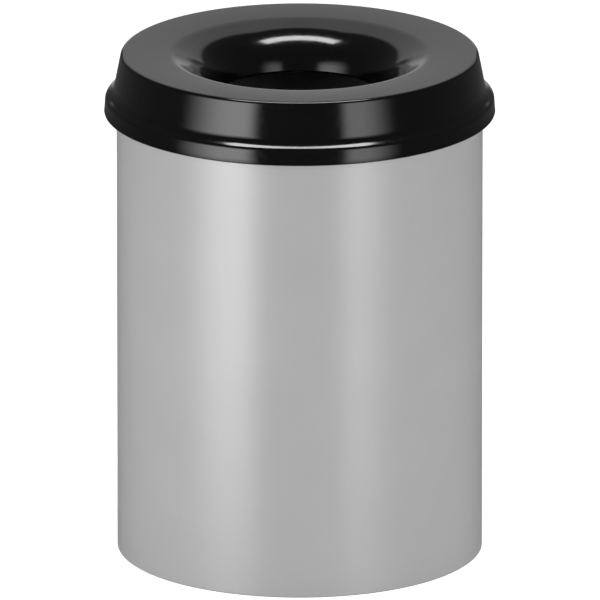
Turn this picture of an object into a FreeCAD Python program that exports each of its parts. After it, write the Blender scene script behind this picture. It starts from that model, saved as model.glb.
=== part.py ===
# Round waste bin with a flame-smothering head: a steel bin body and a spun metal head that lifts off.
# Lengths are millimetres. +Z is up, the origin is on the floor under the middle of the bin, -Y is the front.
import FreeCAD, Part
import math
import os
import Sketcher

DOCUMENT = FreeCAD.newDocument("waste_bin")

# Driving dimensions: alias, value, meaning. A depth is measured down from the top of the head.
SIZES = (
    ("total_height", 358.0, "floor to the top of the head"),
    ("body_radius", 127.5, "outside of the rolled body sheet"),
    ("body_sheet", 0.8, "thickness of the body sheet"),
    ("body_top_depth", 31.28, "depth of the top of the rolled rim"),
    ("curl_radius", 2.5, "outside of the curl along the rim"),
    ("seam_half", 2.5, "half the width of the welded seam up the back"),
    ("seam_proud", 0.35, "how far the seam stands out of the body"),
    ("edge_height", 0.5, "lower edge of the body sheet above the floor"),
    ("pan_height", 14.0, "upper face of the bottom, outside its step"),
    ("pan_sheet", 0.8, "thickness of the bottom sheet"),
    ("pan_bend", 3.0, "outer bend between the bottom and its flange"),
    ("step_outer", 96.0, "outer radius of the step pressed in the bottom"),
    ("step_inner", 91.0, "inner radius of that step"),
    ("step_rise", 3.0, "height of that step"),
    ("step_bend", 2.0, "bends of that step"),
    ("ring_leg", 2.6, "thickness of the floor ring's upright leg"),
    ("ring_height", 9.0, "height of the floor ring"),
    ("head_sheet", 1.0, "thickness of the head's metal"),
    ("crease_radius", 124.4, "corner between the top and the cone"),
    ("crease_round", 2.8, "rounding of that corner"),
    ("dish_radius", 107.0, "corner where the flat of the top starts to dip"),
    ("dish_round", 500.0, "rounding of that corner"),
    ("lip_radius", 89.3, "corner where the top turns down into the funnel"),
    ("lip_depth", 0.93, "depth of that corner"),
    ("lip_round", 15.0, "rounding of that corner"),
    ("funnel_radius", 65.0, "corner between the funnel and the throat's wall"),
    ("funnel_depth", 11.3, "depth of that corner"),
    ("funnel_round", 36.0, "rounding of that corner"),
    ("throat_radius", 57.9, "lower rim of the throat"),
    ("throat_depth", 30.4, "depth of that rim"),
    ("throat_bead", 1.4, "radius of the bead rolled along that rim"),
    ("bead_offset", 1.49, "middle of that bead, outwards from the rim"),
    ("foot_radius", 129.7, "corner between the cone and the shoulder"),
    ("foot_depth", 27.15, "depth of that corner"),
    ("foot_round", 9.5, "rounding of that corner"),
    ("shoulder_radius", 135.5, "corner between the shoulder and the skirt"),
    ("shoulder_depth", 31.5, "depth of that corner"),
    ("shoulder_round", 4.0, "rounding of that corner"),
    ("skirt_radius", 136.2, "lower edge of the skirt"),
    ("skirt_depth", 42.5, "depth of that edge"),
    ("hem_height", 3.0, "height of the hem folded inside the skirt"),
    ("pad_centre", 138.324, "radius of the centre of the foot rounding, which the pads follow"),
    ("pad_centre_depth", 21.743, "depth of that centre"),
    ("pad_sole_round", 12.3, "distance of a pad's sole from that centre"),
    ("pad_outer", 133.38, "outer edge of a pad's glued face"),
    ("pad_outer_depth", 31.16, "depth of that edge"),
    ("pad_bend", 132.024, "where that face starts to bend"),
    ("pad_bend_depth", 30.143, "depth of that bend"),
    ("pad_inner", 130.415, "inner edge of that face"),
    ("pad_inner_depth", 28.65, "depth of that edge"),
    ("sole_inner", 129.06, "inner edge of a pad's sole"),
    ("sole_inner_depth", 29.834, "depth of that edge"),
    ("sole_bend", 130.944, "where the sole starts to bend"),
    ("sole_bend_depth", 31.583, "depth of that bend"),
    ("sole_outer", 132.3, "outer edge of the sole"),
    ("sole_outer_depth", 32.6, "depth of that edge"),
    ("pad_angle", 7.0, "length of a pad round the rim, in degrees"),
)

# Which way each rubber pad lies from the middle of the bin, in degrees about Z.
PADS = (("rear_right", 45), ("rear_left", 135), ("front_left", 225), ("front_right", 315))


def add_sheet():
    """Put the driving dimensions in a spreadsheet, one row each."""
    sheet = DOCUMENT.addObject("Spreadsheet::Sheet", "Sizes")
    for row, (alias, value, meaning) in enumerate(SIZES, start=1):
        sheet.set(f"A{row}", meaning)
        sheet.set(f"B{row}", str(value))
        sheet.setAlias(f"B{row}", alias)
    DOCUMENT.recompute()
    return sheet


SHEET = add_sheet()


def measure(words):
    """The value of a sum of cells, such as 'total_height - lip_depth'. No words is zero."""
    total = 0.0
    sign = 1.0
    for word in words.split():
        if word in ("+", "-"):
            sign = 1.0 if word == "+" else -1.0
        else:
            total += sign * float(SHEET.get(word))
    return total


def formula(words):
    """The same sum as an expression that a property can be bound to."""
    return " ".join(word if word in ("+", "-") else f"Sizes.{word}" for word in words.split())


def new_body(label):
    body = DOCUMENT.addObject("PartDesign::Body", label)
    body.Label = label
    return body


def new_sketch(body, role, name):
    """An empty sketch on one of the body's own origin planes."""
    plane = next(item for item in body.Origin.OriginFeatures if item.Role == role)
    sketch = body.newObject("Sketcher::SketchObject", name)
    sketch.AttachmentSupport = [(plane, "")]
    sketch.MapMode = "FlatFace"
    return sketch


def constrain(sketch, words, kind, *where):
    """Add a dimension to a sketch and bind it to the sheet."""
    index = sketch.addConstraint(Sketcher.Constraint(kind, *where, measure(words)))
    sketch.setExpression(f"Constraints[{index}]", formula(words))


def fix_point(sketch, edge, end, across, up):
    """Hold a point of a sketch at a place given by two sums of cells, measured from the origin."""
    for kind, axis, words in (("DistanceX", -2, across), ("DistanceY", -1, up)):
        if not words:
            sketch.addConstraint(Sketcher.Constraint("PointOnObject", edge, end, axis))
        elif words.startswith("- "):
            constrain(sketch, words[2:], kind, edge, end, -1, 1)
        else:
            constrain(sketch, words, kind, -1, 1, edge, end)


def arc_through(start, end, centre, clockwise):
    """A circular arc about a centre, as the sketcher stores it, which is anticlockwise."""
    first, last = (end, start) if clockwise else (start, end)
    angles = [math.atan2(point.y - centre.y, point.x - centre.x) for point in (first, last)]
    if angles[1] <= angles[0]:
        angles[1] += 2 * math.pi
    circle = Part.Circle(centre, FreeCAD.Vector(0, 0, 1), (first - centre).Length)
    return Part.ArcOfCircle(circle, angles[0], angles[1])


def draw_outline(sketch, corners, arcs=None):
    """Draw a closed outline through corners, each a pair of sums of cells.

    arcs gives the sides that aren't straight: side number, then the sums for its centre's place and
    its radius, and whether it runs clockwise.
    """
    arcs = arcs or {}
    points = [FreeCAD.Vector(measure(across), measure(up), 0) for across, up in corners]
    count = len(points)
    ends = []
    for side in range(count):
        start, end = points[side], points[(side + 1) % count]
        if side in arcs:
            across, up, radius, clockwise = arcs[side]
            centre = FreeCAD.Vector(measure(across), measure(up), 0)
            sketch.addGeometry(arc_through(start, end, centre, clockwise))
            ends.append((2, 1) if clockwise else (1, 2))
        else:
            sketch.addGeometry(Part.LineSegment(start, end))
            ends.append((1, 2))
    for side in range(count):
        following = (side + 1) % count
        joint = Sketcher.Constraint("Coincident", side, ends[side][1], following, ends[following][0])
        sketch.addConstraint(joint)
    for side, (across, up) in enumerate(corners):
        fix_point(sketch, side, ends[side][0], across, up)
    for side, (_, _, radius, _) in arcs.items():
        constrain(sketch, radius, "Radius", side)


def offset_corners(points, distance):
    """The corners of a line drawn beside an open chain of points, on its right-hand side."""
    ways = [(end - start).normalize() for start, end in zip(points, points[1:])]
    sides = [FreeCAD.Vector(way.y, -way.x, 0) for way in ways]
    moved = [points[0] + sides[0] * distance]
    for point, before, after in zip(points[1:-1], sides, sides[1:]):
        moved.append(point + (before + after) * (distance / (1 + before.dot(after))))
    moved.append(points[-1] + sides[-1] * distance)
    return moved


def draw_chain(sketch, points, radii):
    """Draw straight lines through points with an arc at each bend. Returns (edge, first, last) items."""
    chain = []
    start = points[0]
    for before, corner, after, radius in zip(points, points[1:], points[2:], radii):
        back = (before - corner).normalize()
        ahead = (after - corner).normalize()
        half = math.acos(max(-1.0, min(1.0, back.dot(ahead)))) / 2
        tangent = radius / math.tan(half)
        centre = corner + (back + ahead).normalize() * (radius / math.sin(half))
        clockwise = back.cross(ahead).z > 0
        arc_start = corner + back * tangent
        arc_end = corner + ahead * tangent
        chain.append((sketch.addGeometry(Part.LineSegment(start, arc_start)), 1, 2))
        arc = sketch.addGeometry(arc_through(arc_start, arc_end, centre, clockwise))
        chain.append((arc, 2, 1) if clockwise else (arc, 1, 2))
        start = arc_end
    chain.append((sketch.addGeometry(Part.LineSegment(start, points[-1])), 1, 2))
    for (edge, _, last), (following, first, _) in zip(chain, chain[1:]):
        sketch.addConstraint(Sketcher.Constraint("Tangent", edge, last, following, first))
    return chain


def draw_sheet_metal(sketch, corners, roundings, sheet):
    """Draw the section of bent sheet metal from the corners and roundings of its outer face.

    The metal lies on the right-hand side of the corners. A bend towards the metal is tighter inside
    by the sheet's thickness, and one away from it is wider.
    """
    points = [FreeCAD.Vector(measure(across), measure(up), 0) for across, up in corners]
    turns = []
    for before, corner, after in zip(points, points[1:], points[2:]):
        turns.append("-" if (corner - before).cross(after - corner).z < 0 else "+")
    inner_words = [f"{words} {turn} {sheet}" for words, turn in zip(roundings, turns)]
    outer = draw_chain(sketch, points, [measure(words) for words in roundings])
    inner_points = offset_corners(points, measure(sheet))
    inner = draw_chain(sketch, inner_points, [measure(words) for words in inner_words])

    for number, (across, up) in enumerate(corners[1:-1]):
        mark = sketch.addGeometry(Part.Point(points[number + 1]), True)
        for line in (outer[2 * number][0], outer[2 * number + 2][0]):
            sketch.addConstraint(Sketcher.Constraint("PointOnObject", mark, 1, line))
        fix_point(sketch, mark, 1, across, up)
        outer_arc, inner_arc = outer[2 * number + 1][0], inner[2 * number + 1][0]
        sketch.addConstraint(Sketcher.Constraint("Coincident", outer_arc, 3, inner_arc, 3))
        constrain(sketch, roundings[number], "Radius", outer_arc)
        constrain(sketch, inner_words[number], "Radius", inner_arc)
    for place, corner, which in ((0, 0, 1), (-1, -1, 2)):
        outer_line, inner_line = outer[place][0], inner[place][0]
        fix_point(sketch, outer_line, which, *corners[corner])
        sketch.addConstraint(Sketcher.Constraint("Parallel", outer_line, inner_line))
        cap = sketch.addGeometry(Part.LineSegment(points[corner], inner_points[corner]))
        sketch.addConstraint(Sketcher.Constraint("Coincident", cap, 1, outer_line, which))
        sketch.addConstraint(Sketcher.Constraint("Coincident", cap, 2, inner_line, which))
        sketch.addConstraint(Sketcher.Constraint("Perpendicular", cap, outer_line))


def revolve(body, sketch, name, angle=None):
    """Turn a sketch about the upright axis, all the way round unless a cell gives the angle."""
    solid = body.newObject("PartDesign::Revolution", name)
    solid.Profile = sketch
    solid.ReferenceAxis = (sketch, ["V_Axis"])
    solid.Angle = 360
    if angle:
        solid.Midplane = True
        solid.setExpression("Angle", formula(angle))
    DOCUMENT.recompute()
    return solid


def revolved_body(label, corners, arcs=None):
    body = new_body(label)
    sketch = new_sketch(body, "XZ_Plane", f"{label}_section")
    draw_outline(sketch, corners, arcs)
    revolve(body, sketch, f"{label}_turned")
    return body


def add_ring(body, name, corners):
    """Add another turned section to a body."""
    sketch = new_sketch(body, "XZ_Plane", f"{name}_section")
    draw_outline(sketch, corners)
    return revolve(body, sketch, name)


def add_bead(body, name, across, up, radius):
    """Add a round bead that runs all the way round a body."""
    sketch = new_sketch(body, "XZ_Plane", f"{name}_section")
    centre = FreeCAD.Vector(measure(across), measure(up), 0)
    sketch.addGeometry(Part.Circle(centre, FreeCAD.Vector(0, 0, 1), measure(radius)))
    fix_point(sketch, 0, 3, across, up)
    constrain(sketch, radius, "Radius", 0)
    return revolve(body, sketch, name)


def round_corner(body, across, up, radius, name):
    """Round the circular edge of a body that runs through a corner of its section."""
    base = body.Tip
    edges = []
    for number, edge in enumerate(base.Shape.Edges, start=1):
        if not isinstance(edge.Curve, Part.Circle):
            continue
        off = math.hypot(edge.Curve.Radius - measure(across), edge.Curve.Center.z - measure(up))
        if off < 0.02:
            edges.append(f"Edge{number}")
    fillet = body.newObject("PartDesign::Fillet", name)
    fillet.Base = (base, edges)
    fillet.setExpression("Radius", formula(radius))
    DOCUMENT.recompute()
    return fillet


def make_body_shell():
    """The rolled sheet of the bin: a plain tube whose upper edge is curled outwards."""
    inner = "body_radius - body_sheet"
    curl_middle = "body_radius - body_sheet + curl_radius"
    curl_height = "total_height - body_top_depth - curl_radius"
    corners = (
        (inner, "edge_height"),
        (inner, curl_height),
        (curl_middle, f"{curl_height} - curl_radius"),
        (curl_middle, f"{curl_height} - curl_radius + body_sheet"),
        ("body_radius", curl_height),
        ("body_radius", "edge_height"),
    )
    arcs = {
        1: (curl_middle, curl_height, "curl_radius", True),
        3: (curl_middle, curl_height, "curl_radius - body_sheet", False),
    }
    body = revolved_body("body_shell", corners, arcs)

    seam = new_sketch(body, "XY_Plane", "seam_section")
    draw_outline(seam, (
        ("- seam_half", "body_radius - seam_proud"),
        ("seam_half", "body_radius - seam_proud"),
        ("seam_half", "body_radius + seam_proud"),
        ("- seam_half", "body_radius + seam_proud"),
    ))
    seam.setExpression("AttachmentOffset.Base.z", "Sizes.edge_height")
    weld = body.newObject("PartDesign::Pad", "seam")
    weld.Profile = seam
    weld.setExpression("Length", formula(f"{curl_height} - curl_radius - edge_height"))
    DOCUMENT.recompute()
    return body


def make_base_pan():
    """The raised bottom, pressed with a step, whose flange is welded inside the lower edge."""
    outer = "body_radius - body_sheet"
    inner = "body_radius - body_sheet - pan_sheet"
    corners = (
        ("", "pan_height + step_rise"),
        ("step_inner", "pan_height + step_rise"),
        ("step_outer", "pan_height"),
        (outer, "pan_height"),
        (outer, "edge_height"),
        (inner, "edge_height"),
        (inner, "pan_height - pan_sheet"),
        ("step_outer", "pan_height - pan_sheet"),
        ("step_inner", "pan_height + step_rise - pan_sheet"),
        ("", "pan_height + step_rise - pan_sheet"),
    )
    body = revolved_body("base_pan", corners)
    round_corner(body, *corners[3], "pan_bend", "flange_bend")
    round_corner(body, *corners[6], "pan_bend - pan_sheet", "flange_bend_inside")
    for number in (1, 2, 7, 8):
        round_corner(body, *corners[number], "step_bend", f"step_bend_{number}")
    return body


def make_floor_ring():
    """The plastic ring that the bin stands on, pushed up inside the flange of the bottom."""
    outer = "body_radius - body_sheet"
    inside = "body_radius - body_sheet - pan_sheet"
    leg = "body_radius - body_sheet - pan_sheet - ring_leg"
    corners = (
        (outer, ""),
        (outer, "edge_height"),
        (inside, "edge_height"),
        (inside, "ring_height"),
        (leg, "ring_height"),
        (leg, ""),
    )
    return revolved_body("floor_ring", corners)


def make_head_shell():
    """The spun head: a dished top that rolls into a throat, a cone, a shoulder and a skirt."""
    top = "total_height"
    corners = (
        ("throat_radius", f"{top} - throat_depth"),
        ("funnel_radius", f"{top} - funnel_depth"),
        ("lip_radius", f"{top} - lip_depth"),
        ("dish_radius", top),
        ("crease_radius", top),
        ("foot_radius", f"{top} - foot_depth"),
        ("shoulder_radius", f"{top} - shoulder_depth"),
        ("skirt_radius", f"{top} - skirt_depth"),
    )
    roundings = ("funnel_round", "lip_round", "dish_round", "crease_round", "foot_round", "shoulder_round")
    body = new_body("head_shell")
    sketch = new_sketch(body, "XZ_Plane", "head_section")
    draw_sheet_metal(sketch, corners, roundings, "head_sheet")
    revolve(body, sketch, "head_turned")
    add_bead(body, "rolled_rim", "throat_radius + bead_offset", f"{top} - throat_depth", "throat_bead")

    hem_foot = f"{top} - skirt_depth"
    hem_face = "skirt_radius - head_sheet"
    add_ring(body, "skirt_hem", (
        ("skirt_radius", hem_foot),
        (hem_face, f"{hem_foot} + hem_height"),
        (f"{hem_face} - head_sheet", f"{hem_foot} + hem_height"),
        (f"{hem_face} - head_sheet", hem_foot),
    ))
    return body


def make_pad(side, turn):
    """A rubber pad glued under the shoulder of the head, which rests on the rolled rim."""
    label = f"head_pad_{side}"
    body = new_body(label)
    sketch = new_sketch(body, "XZ_Plane", f"{label}_section")
    places = ("pad_outer", "pad_bend", "pad_inner", "sole_inner", "sole_bend", "sole_outer")
    centre = ("pad_centre", "total_height - pad_centre_depth")
    draw_outline(sketch, [(place, f"total_height - {place}_depth") for place in places], {
        1: (*centre, "foot_round + head_sheet", True),
        3: (*centre, "pad_sole_round", False),
    })
    revolve(body, sketch, f"{label}_turned", "pad_angle")
    body.Placement = FreeCAD.Placement(FreeCAD.Vector(), FreeCAD.Rotation(FreeCAD.Vector(0, 0, 1), turn))
    return body


def check_document(nodes):
    """Stop if anything failed to build."""
    DOCUMENT.recompute()
    for item in DOCUMENT.Objects:
        if "Invalid" in item.State or "Error" in item.State:
            raise RuntimeError(f"{item.Name} failed: {item.State}")
    for node in nodes:
        if node.Shape.isNull() or not node.Shape.isValid():
            raise RuntimeError(f"{node.Label} has no valid shape")
        if len(node.Shape.Solids) != 1:
            raise RuntimeError(f"{node.Label} is {len(node.Shape.Solids)} solids")


def write_nodes(nodes):
    os.makedirs("parts", exist_ok=True)
    for node in nodes:
        node.Shape.exportStep(f"parts/{node.Label}.step")
        print(f"{node.Label}: {node.Shape.Volume / 1000:.2f} cm3")


def main():
    nodes = [make_body_shell(), make_base_pan(), make_floor_ring(), make_head_shell()]
    nodes += [make_pad(side, turn) for side, turn in PADS]
    check_document(nodes)
    write_nodes(nodes)


main()
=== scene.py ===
# Looks of the round waste bin with a flame-smothering head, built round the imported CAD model.
# Sections are drawn in millimetres as (across, up) from the bin's axis, and meshes are made in metres.
import math
import bpy
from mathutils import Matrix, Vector
from mathutils.geometry import intersect_line_sphere_2d


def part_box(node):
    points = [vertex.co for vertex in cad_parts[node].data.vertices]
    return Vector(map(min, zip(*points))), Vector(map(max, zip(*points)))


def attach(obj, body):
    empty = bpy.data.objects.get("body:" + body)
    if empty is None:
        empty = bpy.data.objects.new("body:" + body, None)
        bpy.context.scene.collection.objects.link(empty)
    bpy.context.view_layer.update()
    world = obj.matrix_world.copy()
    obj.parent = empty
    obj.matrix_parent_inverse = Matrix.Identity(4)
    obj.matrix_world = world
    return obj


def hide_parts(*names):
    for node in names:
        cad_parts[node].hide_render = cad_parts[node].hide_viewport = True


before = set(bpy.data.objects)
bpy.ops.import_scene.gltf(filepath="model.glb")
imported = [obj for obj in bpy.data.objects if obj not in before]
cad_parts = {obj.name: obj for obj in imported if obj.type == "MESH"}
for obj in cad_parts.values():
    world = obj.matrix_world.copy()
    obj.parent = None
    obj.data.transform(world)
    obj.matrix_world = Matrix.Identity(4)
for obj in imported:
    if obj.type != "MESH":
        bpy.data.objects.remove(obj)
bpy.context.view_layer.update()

MM = 0.001
SEGMENTS = 288                      # faces round a turned piece
ARC_STEP = math.radians(4)          # longest stretch of an arc between two points of a section
SUPPORT = 0.4                       # extra points this far from each arc keep the shading of flats even
ON_AXIS = 1e-6                      # points nearer to the axis than this count as on it


def top_of(node):
    """The height of a node's top, in millimetres."""
    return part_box(node)[1].z / MM


def foot_of(node):
    """The height of a node's lowest point, in millimetres."""
    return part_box(node)[0].z / MM


def radius_of(node):
    """The outside radius of a round node, in millimetres."""
    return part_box(node)[1].x / MM


# ---------------------------------------------------------------- sections and meshes

def arc(centre, radius, start, turn):
    """Points of an arc about a centre. Angles are in degrees, anticlockwise from 'across'."""
    count = max(3, math.ceil(math.radians(abs(turn)) / ARC_STEP))
    angles = [math.radians(start + turn * number / count) for number in range(count + 1)]
    across, up = centre
    return [Vector((across + radius * math.cos(angle), up + radius * math.sin(angle))) for angle in angles]


def bend_line(corners):
    """Points of a line through corners (across, up, rounding), with an arc in place of each inner corner.

    A point just before and after each arc keeps the shading of the straight stretches even.
    """
    places = [Vector(corner[:2]) for corner in corners]
    rounds = [corner[2] for corner in corners]
    ways = [(end - start).normalized() for start, end in zip(places, places[1:])]
    turns = [math.degrees(before.angle_signed(after)) for before, after in zip(ways, ways[1:])]
    reaches = [radius * math.tan(math.radians(abs(turn)) / 2) for radius, turn in zip(rounds[1:], turns)]
    reaches = [0.0, *reaches, 0.0]
    lengths = [(end - start).length for start, end in zip(places, places[1:])]
    free = [length - near - far for length, near, far in zip(lengths, reaches, reaches[1:])]
    supports = [min(SUPPORT, room / 3) for room in free]
    points = [places[0]]
    for number, turn in enumerate(turns, start=1):
        here, radius, reach = places[number], rounds[number], reaches[number]
        before, after = ways[number - 1], ways[number]
        side = 1 if turn < 0 else -1
        centre = here - before * reach + Vector((-before.y, before.x)) * radius * side
        spoke = here - before * reach - centre
        points.append(here - before * (reach + supports[number - 1]))
        points += arc(centre, radius, math.degrees(math.atan2(spoke.y, spoke.x)), -turn)
        points.append(here + after * (reach + supports[number]))
    points.append(places[-1])
    return points


def beside(points, distance):
    """The line of points moved sideways, to the right of the way it runs."""
    ways = [(end - start).normalized() for start, end in zip(points, points[1:])]
    sides = [Vector((way.y, -way.x)) for way in ways]
    moved = [points[0] + sides[0] * distance]
    for point, before, after in zip(points[1:-1], sides, sides[1:]):
        moved.append(point + (before + after) * (distance / (1 + before.dot(after))))
    moved.append(points[-1] + sides[-1] * distance)
    return moved


def make_mesh(name, points, faces, material):
    mesh = bpy.data.meshes.new(name)
    mesh.from_pydata(points, [], faces)
    mesh.validate()
    mesh.polygons.foreach_set("use_smooth", [True] * len(mesh.polygons))
    mesh.materials.append(material)
    mesh.update()
    piece = bpy.data.objects.new(name, mesh)
    bpy.context.scene.collection.objects.link(piece)
    return piece


def swung(point, angle):
    """Where a section's point comes, in metres, when it is turned about the axis by an angle."""
    return (point.x * MM * math.cos(angle), point.x * MM * math.sin(angle), point.y * MM)


def band(first, second, count):
    """The faces between two closed rows of points, each given by the number of its first point."""
    faces = []
    for step in range(count):
        following = (step + 1) % count
        faces.append((first + step, first + following, second + following, second + step))
    return faces


def turned(name, section, material):
    """Turn a section about Z. It runs anticlockwise and closes, or starts and ends on the axis."""
    on_axis = section[0].x < ON_AXIS
    rows = section[1:-1] if on_axis else section
    angles = [2 * math.pi * step / SEGMENTS for step in range(SEGMENTS)]
    points = [swung(point, angle) for point in rows for angle in angles]
    starts = [row * SEGMENTS for row in range(len(rows))]
    followers = starts[1:] if on_axis else starts[1:] + starts[:1]
    faces = []
    for start, follower in zip(starts, followers):
        faces += band(start, follower, SEGMENTS)
    if on_axis:
        first, last, end = len(points), len(points) + 1, starts[-1]
        points += [(0, 0, section[0].y * MM), (0, 0, section[-1].y * MM)]
        for step in range(SEGMENTS):
            following = (step + 1) % SEGMENTS
            faces.append((first, following, step))
            faces.append((last, end + step, end + following))
    return make_mesh(name, points, faces, material)


def lofted(name, rows, material):
    """A closed piece through rows of points, each anticlockwise when it is seen from the last row."""
    ring = len(rows[0])
    faces = []
    for row in range(len(rows) - 1):
        faces += band(row * ring, (row + 1) * ring, ring)
    faces.append(tuple(reversed(range(ring))))
    faces.append(tuple(range((len(rows) - 1) * ring, len(rows) * ring)))
    return make_mesh(name, sum(rows, []), faces, material)


def settle(piece, body, slot, *nodes):
    """Say which body a piece rides on and which nodes it stands for."""
    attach(piece, body)
    if nodes:
        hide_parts(*nodes)


# ---------------------------------------------------------------- materials

NOISE_LOW, NOISE_HIGH = 0.3, 0.7    # most of a noise pattern lies between these


class Finish:
    """A material made of nodes on one Principled shader, patterned in the object's own space."""

    def __init__(self, name, **values):
        self.material = bpy.data.materials.new(name)
        self.material.use_nodes = True
        self.nodes = self.material.node_tree.nodes
        self.links = self.material.node_tree.links
        self.shader = self.nodes["Principled BSDF"]
        self.place = self.nodes.new("ShaderNodeTexCoord").outputs["Object"]
        for socket, value in values.items():
            self.shader.inputs[socket.replace("_", " ")].default_value = value

    def noise(self, size, detail=2, stretch=(1, 1, 1)):
        """Noise whose lumps are about this many millimetres across."""
        mapping = self.nodes.new("ShaderNodeMapping")
        mapping.inputs["Scale"].default_value = stretch
        texture = self.nodes.new("ShaderNodeTexNoise")
        texture.inputs["Scale"].default_value = 1 / (size * MM)
        texture.inputs["Detail"].default_value = detail
        self.links.new(self.place, mapping.inputs["Vector"])
        self.links.new(mapping.outputs["Vector"], texture.inputs["Vector"])
        return texture.outputs["Fac"]

    def spread(self, pattern, low, high):
        """A number that goes from low to high as the pattern rises."""
        node = self.nodes.new("ShaderNodeMapRange")
        node.inputs["From Min"].default_value = NOISE_LOW
        node.inputs["From Max"].default_value = NOISE_HIGH
        node.inputs["To Min"].default_value = low
        node.inputs["To Max"].default_value = high
        self.links.new(pattern, node.inputs["Value"])
        return node.outputs["Result"]

    def set(self, socket, value):
        self.links.new(value, self.shader.inputs[socket])

    def colour(self, pattern, dark, pale):
        """Colour it grey, from dark to pale as the pattern rises."""
        node = self.nodes.new("ShaderNodeMix")
        node.data_type = "RGBA"
        self.links.new(self.spread(pattern, 0, 1), node.inputs["Factor"])
        for socket, level in (("A", dark), ("B", pale)):
            target = next(item for item in node.inputs if item.name == socket and item.type == "RGBA")
            target.default_value = (level, level, level, 1)
        self.set("Base Color", next(item for item in node.outputs if item.type == "RGBA"))

    def roughness(self, pattern, low, high):
        self.set("Roughness", self.spread(pattern, low, high))

    def relief(self, pattern, depth, below=None):
        """A bump of this many millimetres, on top of another one if given."""
        node = self.nodes.new("ShaderNodeBump")
        node.inputs["Distance"].default_value = depth * MM
        self.links.new(pattern, node.inputs["Height"])
        if below:
            self.links.new(below, node.inputs["Normal"])
        return node.outputs["Normal"]


def silver_paint():
    """Satin silver-grey powder coat: a soft orange peel and hardly any colour."""
    finish = Finish("silver_powder_coat", Metallic=0.12, IOR=1.5)
    finish.colour(finish.noise(size=45), dark=0.300, pale=0.310)
    finish.roughness(finish.noise(size=8), low=0.28, high=0.31)
    finish.set("Normal", finish.relief(finish.noise(size=4, detail=1), depth=0.003))
    return finish.material


def black_paint():
    """Gloss black powder coat with a faint orange peel."""
    finish = Finish("black_gloss_powder_coat", IOR=1.5)
    finish.colour(finish.noise(size=30), dark=0.0006, pale=0.001)
    finish.roughness(finish.noise(size=4, detail=3), low=0.10, high=0.15)
    peel = finish.relief(finish.noise(size=3.5), depth=0.0016)
    finish.set("Normal", finish.relief(finish.noise(size=0.6, detail=1), depth=0.0002, below=peel))
    return finish.material


def weld_paint():
    """The silver coat over the ground-down weld: the same colour with ripples across the seam."""
    finish = Finish("silver_powder_coat_on_weld", Metallic=0.12, IOR=1.5)
    ripples = finish.noise(size=1.4, stretch=(0.5, 0.5, 1))
    finish.colour(ripples, dark=0.28, pale=0.305)
    finish.roughness(finish.noise(size=3, detail=3), low=0.36, high=0.44)
    finish.set("Normal", finish.relief(ripples, depth=0.05))
    return finish.material


def ring_plastic():
    """Moulded black plastic with a fine spark-eroded grain."""
    finish = Finish("black_moulded_plastic", IOR=1.46)
    grain = finish.noise(size=0.7, detail=3)
    finish.colour(grain, dark=0.012, pale=0.02)
    finish.roughness(finish.noise(size=2.5), low=0.48, high=0.6)
    finish.set("Normal", finish.relief(grain, depth=0.03))
    return finish.material


def pad_rubber():
    """Plain black rubber, dull, with a soft mottle."""
    finish = Finish("black_rubber", IOR=1.5)
    mottle = finish.noise(size=0.9, detail=3)
    finish.colour(mottle, dark=0.016, pale=0.028)
    finish.roughness(mottle, low=0.7, high=0.85)
    finish.set("Normal", finish.relief(mottle, depth=0.02))
    return finish.material


# ---------------------------------------------------------------- the bin

WALL = 0.8                          # sheet of the body and the bottom
BODY_RADIUS = 127.5
INNER_RADIUS = BODY_RADIUS - WALL
CURL = 2.5                          # outside radius of the curl along the rim
EDGE_ROUND = 0.3                    # rounding of the body's cut edge


def body_piece(material):
    """The rolled sheet with its rim curled outwards and over."""
    foot = foot_of("body_shell")
    curl_height = top_of("body_shell") - CURL
    middle = (INNER_RADIUS + CURL, curl_height)
    curl_outside = arc(middle, CURL, 180, -270)
    curl_inside = arc(middle, CURL - WALL, -90, 270)
    wall = bend_line((
        (BODY_RADIUS, curl_height - SUPPORT, 0),
        (BODY_RADIUS, foot, EDGE_ROUND),
        (INNER_RADIUS, foot, EDGE_ROUND),
        (INNER_RADIUS, curl_height - SUPPORT, 0),
    ))
    section = wall + curl_outside + curl_inside
    section.reverse()
    return turned("rolled_body", section, material)


def seam_piece(material):
    """The weld up the back, planished to a low crown that follows the wall."""
    low, high = foot_of("body_shell"), top_of("body_shell") - 2 * CURL
    half_width, crown, sunk = 2.5, 0.35, 0.3
    steps_across, steps_along = 12, 160
    shares = [step / steps_across * 2 - 1 for step in range(steps_across + 1)]
    proud_side = [(share, BODY_RADIUS + crown * math.sqrt(1 - share ** 4)) for share in shares]
    sunk_side = [(share, BODY_RADIUS - sunk) for share in reversed(shares)]
    outline = []
    for share, radius in proud_side + sunk_side:
        across = -share * half_width
        outline.append((across * MM, math.sqrt(radius ** 2 - across ** 2) * MM))
    rows = []
    for row in range(steps_along + 1):
        height = low + (high - low) * row / steps_along
        rows.append([(across, back, height * MM) for across, back in outline])
    return lofted("body_weld_seam", rows, material)


def bottom_piece(material):
    """The pressed bottom with its step and the flange that is welded inside the wall."""
    floor_height, step_rise = 14.0, 3.0
    step_outer, step_inner, step_round = 96.0, 91.0, 2.0
    corner_round = 3.0
    middle_height = floor_height + step_rise
    upper_face = bend_line((
        (0, middle_height, 0),
        (step_inner, middle_height, step_round),
        (step_outer, floor_height, step_round),
        (INNER_RADIUS, floor_height, corner_round),
        (INNER_RADIUS, foot_of("base_pan"), 0),
    ))
    section = upper_face + beside(upper_face, WALL)[::-1]
    section.reverse()
    return turned("pressed_bottom", section, material)


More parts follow.
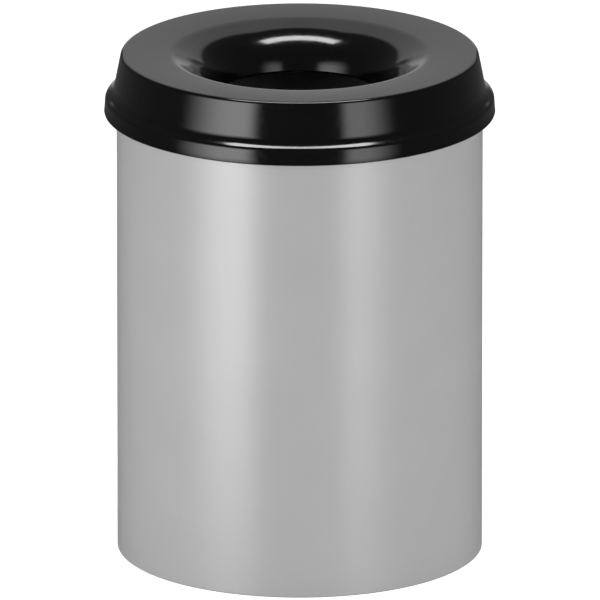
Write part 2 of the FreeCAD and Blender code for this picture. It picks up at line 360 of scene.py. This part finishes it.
def ring_piece(material):
    """The moulded ring that the bin stands on: a leg inside the bottom's flange and a lip under it."""
    leg_width = 2.6
    leg_outer = INNER_RADIUS - WALL
    leg_inner = leg_outer - leg_width
    lip = foot_of("body_shell")
    height = top_of("floor_ring")
    toe_round, lip_round, seat_round, top_round = 0.6, 0.15, 0.05, 0.5
    section = bend_line((
        (leg_inner, height / 2, 0),
        (leg_inner, 0, toe_round),
        (INNER_RADIUS, 0, lip_round),
        (INNER_RADIUS, lip, lip_round),
        (leg_outer, lip, seat_round),
        (leg_outer, height, top_round),
        (leg_inner, height, top_round),
        (leg_inner, height / 2, 0),
    ))
    return turned("moulded_floor_ring", section[:-1], material)


# ---------------------------------------------------------------- the head

HEAD_SHEET = 1.0
BEAD_RADIUS = 1.4                   # bead along the end of the throat
HEM_HEIGHT = 3.0                    # hem folded up inside the foot of the skirt

# Corners of the head's outer face: radius, depth below the top, and radius of the rounding there.
THROAT_END = (57.9, 30.4, 0)
FUNNEL = (65.0, 11.3, 36.0)
LIP = (89.3, 0.93, 15.0)            # between the funnel and the top
DISH = (107.0, 0, 500.0)            # where the flat of the top starts to dip
CREASE = (124.4, 0, 2.8)            # between the top and the cone
CONE_FOOT = (129.7, 27.15, 9.5)     # between the cone and the shoulder
SHOULDER = (135.5, 31.5, 4.0)       # between the shoulder and the skirt


def bead_points(outline, inside):
    """End both faces of the sheet on the bead, and give the bead's points from inside to outline."""
    wall = (outline[1] - outline[0]).normalized()
    outwards = Vector((wall.y, -wall.x))
    centre = outline[0] + Vector((BEAD_RADIUS / outwards.x, 0))
    outline[0] = centre - outwards * BEAD_RADIUS
    crossings = intersect_line_sphere_2d(inside[0], inside[1], centre, BEAD_RADIUS, False)
    inside[0] = max(crossings, key=lambda point: point.y)
    start, end = (math.degrees(math.atan2(*(line[0] - centre).yx)) for line in (outline, inside))
    return arc(centre, BEAD_RADIUS, end, start - end - 360)[1:-1]


def hem_points(skirt, foot):
    """The sheet folded up inside the skirt, from the fold to the end of its raw edge."""
    fold = arc((skirt - HEAD_SHEET, foot + HEAD_SHEET), HEAD_SHEET, 0, -180)
    hem_top = foot + HEM_HEIGHT
    straight, inner_round, outer_round = 1.2, 0.2, 0.05
    raw_edge = bend_line((
        (skirt - 2 * HEAD_SHEET, hem_top - straight, 0),
        (skirt - 2 * HEAD_SHEET, hem_top, inner_round),
        (skirt - HEAD_SHEET, hem_top, outer_round),
    ))
    return fold[1:] + raw_edge


def head_piece(material):
    """The spun head: funnel, dished top, cone, shoulder and skirt, with a bead and a folded hem."""
    top, foot, skirt = top_of("head_shell"), foot_of("head_shell"), radius_of("head_shell")
    corners = (THROAT_END, FUNNEL, LIP, DISH, CREASE, CONE_FOOT, SHOULDER)
    outline = bend_line([
        *((across, top - depth, rounding) for across, depth, rounding in corners),
        (skirt, foot, 0),
    ])
    inside = beside(outline, HEAD_SHEET)
    bead = bead_points(outline, inside)
    fold_share = HEAD_SHEET / (outline[-2].y - foot)
    outline[-1] += (outline[-2] - outline[-1]) * fold_share
    hem_gap = 0.1
    inside = [point for point in inside if point.y > foot + HEM_HEIGHT + hem_gap]
    section = outline + hem_points(skirt, foot) + inside[::-1] + bead
    section.reverse()
    return turned("spun_head", section, material)


def pad_section():
    """A pad's section, glued under the slope of the shoulder and the start of the round above it."""
    straight, halfway, bend_turn, thickness = 1.695, 0.8, 12, 1.8
    top = top_of("head_shell")
    corners = (CREASE, CONE_FOOT, SHOULDER)
    crease, foot, shoulder = (Vector((across, top - depth)) for across, depth, _ in corners)
    cone, slope = (foot - crease).normalized(), (shoulder - foot).normalized()
    outwards = Vector((-slope.y, slope.x))
    rounding = CONE_FOOT[2]
    reach = rounding * math.tan(cone.angle(slope) / 2)
    inner_rounding = rounding + HEAD_SHEET
    bend = foot + slope * reach - outwards * HEAD_SHEET
    start = math.degrees(math.atan2(-outwards.y, -outwards.x))
    glued = [bend + slope * straight, bend + slope * halfway]
    glued += arc(bend + outwards * inner_rounding, inner_rounding, start, -bend_turn)
    section = glued + beside(glued, -thickness)[::-1]
    section.reverse()
    return section


def pad_piece(node, material):
    """A rubber pad glued under the shoulder: a short curved strip with rounded edges."""
    low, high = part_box(node)
    middle = (low + high) / 2
    turn = math.atan2(middle.y, middle.x)
    half_turn = math.radians(3.5)
    edge_round, edge_angle = 0.35, 40
    stretches = 24

    # Stations along the pad: share of its length, and size of its section there.
    rounded_end = [(0.0, 0.80), (0.012, 0.93), (0.035, 1.0)]
    stations = [*rounded_end, *((number / stretches, 1.0) for number in range(2, stretches - 1))]
    stations += [(1 - share, size) for share, size in reversed(rounded_end)]

    section = pad_section()
    hub = sum(section, Vector((0, 0))) / len(section)
    rows = []
    for share, size in stations:
        angle = turn + half_turn * (2 * share - 1)
        rows.append([swung(hub + (point - hub) * size, angle) for point in section])
    piece = lofted(node.replace("head_pad", "rubber_pad"), rows, material)
    rounding = piece.modifiers.new("soft_edges", "BEVEL")
    rounding.width = edge_round * MM
    rounding.segments = 3
    rounding.limit_method = "ANGLE"
    rounding.angle_limit = math.radians(edge_angle)
    return piece


# ---------------------------------------------------------------- stage

TARGET = Vector((0.0002, 0.0, 0.1779))
CAMERA_RISE = 16.8                  # degrees above level
PICTURE_WIDTH = 0.4187              # metres across the picture at the bin
LENS = 1600.0                       # millimetres
FORWARDS = Vector((0, -1, 0))
DOWN = Vector((0, 0, -1))


def way(azimuth, elevation):
    """A direction from the bin. Azimuth is in degrees from the front, towards +X."""
    a, e = math.radians(azimuth), math.radians(elevation)
    return Vector((math.sin(a) * math.cos(e), -math.cos(a) * math.cos(e), math.sin(e)))


def add_camera():
    data = bpy.data.cameras.new("camera")
    data.lens = LENS
    distance = LENS * PICTURE_WIDTH / data.sensor_width
    data.clip_end = 3 * distance
    camera = bpy.data.objects.new("camera", data)
    back = way(0, CAMERA_RISE)
    camera.location = TARGET + back * distance
    camera.rotation_euler = (-back).to_track_quat("-Z", "Y").to_euler()
    bpy.context.scene.collection.objects.link(camera)
    bpy.context.scene.camera = camera


def add_panel(name, centre, facing, width, height, radiance):
    """A flat light, evenly bright and hidden from the camera."""
    data = bpy.data.lights.new(name, "AREA")
    data.shape = "RECTANGLE"
    data.size, data.size_y = width, height
    data.energy = radiance * math.pi * width * height
    light = bpy.data.objects.new(name, data)
    light.location = centre
    light.rotation_euler = facing.to_track_quat("-Z", "Y").to_euler()
    light.visible_camera = False
    bpy.context.scene.collection.objects.link(light)
    return light


def shade_panel(light, soft, levels):
    """Fade a light over these shares of its width, left and right, and grade it up its height.

    levels gives its brightness up its height, as (share of the height, share of the radiance) pairs.
    """
    light.data.use_nodes = True
    nodes, links = light.data.node_tree.nodes, light.data.node_tree.links
    place = nodes.new("ShaderNodeNewGeometry").outputs["Parametric"]
    split = nodes.new("ShaderNodeSeparateXYZ")
    links.new(place, split.inputs["Vector"])
    ramp = nodes.new("ShaderNodeValToRGB")
    elements = ramp.color_ramp.elements
    while len(elements) < len(levels):
        elements.new(0.5)
    for element, (share, level) in zip(elements, levels):
        element.position = share
        element.color = (level, level, level, 1)
    links.new(split.outputs["Y"], ramp.inputs["Fac"])
    strength = ramp.outputs["Color"]
    for edge, full in ((0, soft[0]), (1, 1 - soft[1])):
        fade = nodes.new("ShaderNodeMapRange")
        fade.interpolation_type = "SMOOTHSTEP"
        fade.inputs["From Min"].default_value = edge
        fade.inputs["From Max"].default_value = full
        links.new(split.outputs["X"], fade.inputs["Value"])
        product = nodes.new("ShaderNodeMath")
        product.operation = "MULTIPLY"
        links.new(fade.outputs["Result"], product.inputs[0])
        links.new(strength, product.inputs[1])
        strength = product.outputs["Value"]
    emission = next(node for node in nodes if node.type == "EMISSION")
    links.new(strength, emission.inputs["Strength"])


def add_overhead():
    """The light over the bin, which draws the bright lines along the head's rounded edges."""
    centre = Vector((0, -0.02, 1.78))
    add_panel("overhead_strip", centre, DOWN, width=1.2, height=0.3, radiance=14.0)


def add_strips():
    """A tall light at each side of the camera, which draws the pale bands down the body."""
    distance, centre_height, height = 1.2, 0.48, 1.5
    levels = ((0.0, 0.75), (0.15, 1.0), (0.58, 1.0), (0.92, 0.0))
    strips = (
        ("left_strip", -49, 1.20, 4.85, (0.65, 0.2)),
        ("right_strip", 41, 0.80, 2.95, (0.2, 0.65)),
    )
    for name, azimuth, width, radiance, soft in strips:
        side = way(azimuth, 0)
        centre = side * distance + Vector((0, 0, centre_height))
        shade_panel(add_panel(name, centre, -side, width, height, radiance), soft, levels)


def add_backdrop():
    """A wide light behind the bin and a narrow one under it, which the gloss of the head mirrors."""
    behind = 3.0
    rise = ((0.0, 0.43), (0.1, 0.45), (0.37, 0.65), (0.95, 1.0))
    fall = ((0.0, 1.0), (0.55, 1.0), (1.0, 0.7))
    panels = (
        ("backdrop", 3.8, 3.4, 5.4, 1.0, (0.08, 0.08), rise),
        ("backdrop_foot", 0.4, 1.8, 1.4, 0.62, (0.3, 0.3), fall),
    )
    for name, centre_height, width, height, radiance, soft, levels in panels:
        centre = Vector((0, behind, centre_height))
        shade_panel(add_panel(name, centre, FORWARDS, width, height, radiance), soft, levels)


def add_fills():
    """Soft lights at both sides that the gloss doesn't mirror."""
    distance, elevation = 1.5, 5
    for name, azimuth, radiance in (("left_fill", -80, 1.0), ("right_fill", 75, 2.6)):
        side = way(azimuth, elevation)
        light = add_panel(name, side * distance, -side, width=1.0, height=1.4, radiance=radiance)
        light.visible_glossy = False


def add_floor():
    """A pale floor that glows a little, so that the background is white and the shadow is lost."""
    metres_across, glow = 40, 0.74
    finish = Finish("pale_floor")
    mottle = finish.noise(size=400, detail=3)
    finish.colour(mottle, dark=0.80, pale=0.82)
    finish.roughness(mottle, low=0.75, high=0.85)
    finish.shader.inputs["Emission Color"].default_value = (1, 1, 1, 1)
    finish.shader.inputs["Emission Strength"].default_value = glow
    bpy.ops.mesh.primitive_plane_add(size=metres_across)
    floor = bpy.context.object
    floor.name = "floor"
    floor.data.materials.append(finish.material)
    floor.visible_glossy = False
    floor.visible_shadow = False


def add_world():
    """A dim, even surround."""
    level = 0.1
    world = bpy.data.worlds.new("studio")
    world.use_nodes = True
    world.node_tree.nodes["Background"].inputs["Color"].default_value = (level, level, level, 1)
    bpy.context.scene.world = world
    bpy.context.scene.view_settings.view_transform = "Standard"


# ---------------------------------------------------------------- everything together

add_camera()
add_overhead()
add_strips()
add_backdrop()
add_fills()
add_floor()
add_world()

silver = silver_paint()
black = black_paint()
settle(body_piece(silver), "bin", "body_paint", "body_shell")
settle(seam_piece(weld_paint()), "bin", "body_paint")
settle(bottom_piece(silver), "bin", "pan_paint", "base_pan")
settle(ring_piece(ring_plastic()), "bin", "ring_plastic", "floor_ring")
settle(head_piece(black), "head", "head_paint", "head_shell")
rubber = pad_rubber()
for pad in ("front_left", "front_right", "rear_left", "rear_right"):
    node = f"head_pad_{pad}"
    settle(pad_piece(node, rubber), "head", "pad_rubber", node)
